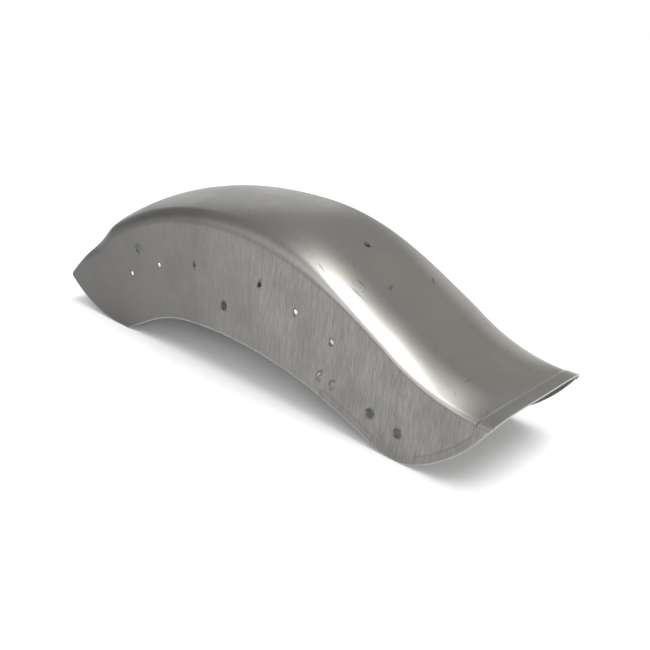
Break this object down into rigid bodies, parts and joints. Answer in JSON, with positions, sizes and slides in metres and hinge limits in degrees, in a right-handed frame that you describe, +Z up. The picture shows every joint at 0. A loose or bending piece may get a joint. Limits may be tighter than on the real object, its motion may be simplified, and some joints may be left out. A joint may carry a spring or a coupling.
{
  "type": "motorcycle rear fender",
  "caption": "Raw steel motorcycle rear fender with a domed crown, flat skirts, a flared tail with a stepped lip, and bolt holes along both sides.",
  "frame": {"origin": "on the floor under the middle of the fender's length and width, as it stands on its skirts", "axes": "+X along the length towards the flared tail, +Z up, +Y across the width to the far skirt"},
  "size_m": [0.6898, 0.189, 0.2134],
  "materials": {
    "raw_steel": "bare unpainted steel sheet, satin, with fine brush marks"
  },
  "bodies": {
    "root": {"fender": "raw_steel"}
  },
  "joints": []
}
